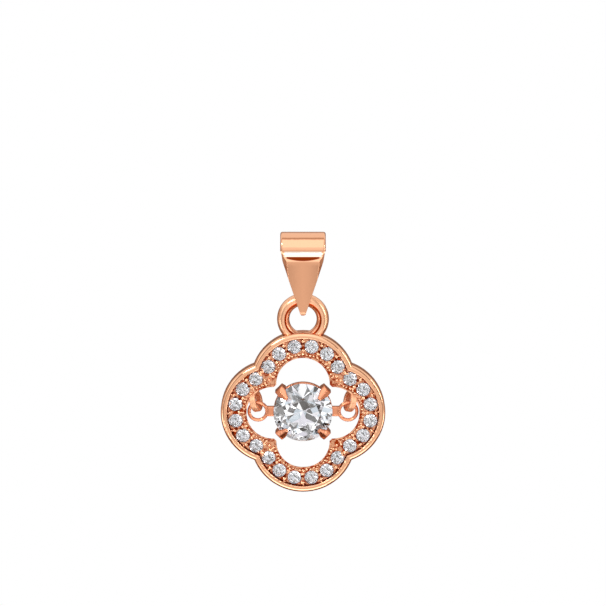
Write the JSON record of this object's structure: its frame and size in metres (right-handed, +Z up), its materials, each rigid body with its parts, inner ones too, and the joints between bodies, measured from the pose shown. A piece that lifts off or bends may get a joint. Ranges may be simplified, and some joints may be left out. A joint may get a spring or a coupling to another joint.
{
  "type": "pendant",
  "caption": "Four leaf clover pendant of rose gold plated brass with white stones along the frame and a centre stone that swings between two loops, on a tapered bail",
  "frame": {"origin": "on top of the inside of the bail's chain hole, midway along it, where a chain bears and the pendant hangs", "axes": "+Z up along the hanging pendant, -Y is its front, +X to the viewer's right"},
  "size_m": [0.0144, 0.0035, 0.0231],
  "materials": {
    "rose_gold": "polished rose gold plating",
    "white_stone": "clear faceted cubic zirconia"
  },
  "bodies": {
    "bail": {"bail": "rose_gold"},
    "clover": {"clover_frame": "rose_gold", "clover_stone_1": "white_stone", "clover_stone_2": "white_stone", "clover_stone_3": "white_stone", "clover_stone_4": "white_stone", "clover_stone_5": "white_stone", "clover_stone_6": "white_stone", "clover_stone_7": "white_stone", "clover_stone_8": "white_stone", "clover_stone_9": "white_stone", "clover_stone_10": "white_stone", "clover_stone_11": "white_stone", "clover_stone_12": "white_stone", "clover_stone_13": "white_stone", "clover_stone_14": "white_stone", "clover_stone_15": "white_stone", "clover_stone_16": "white_stone", "clover_stone_17": "white_stone", "clover_stone_18": "white_stone", "clover_stone_19": "white_stone", "clover_stone_20": "white_stone", "clover_stone_21": "white_stone", "clover_stone_22": "white_stone", "clover_stone_23": "white_stone", "clover_stone_24": "white_stone"},
    "setting": {"stone_setting": "rose_gold", "centre_stone": "white_stone"}
  },
  "joints": [
    {"name": "clover_swing", "type": "hinge", "parent": "bail", "child": "clover", "pos_m": [0, 0, -0.00552], "axis": [1, 0, 0], "range_deg": [-60, 60]},
    {"name": "stone_swing", "type": "hinge", "parent": "clover", "child": "setting", "pos_m": [0, 0, -0.01474], "axis": [1, 0, 0], "range_deg": [-40, 40]}
  ]
}
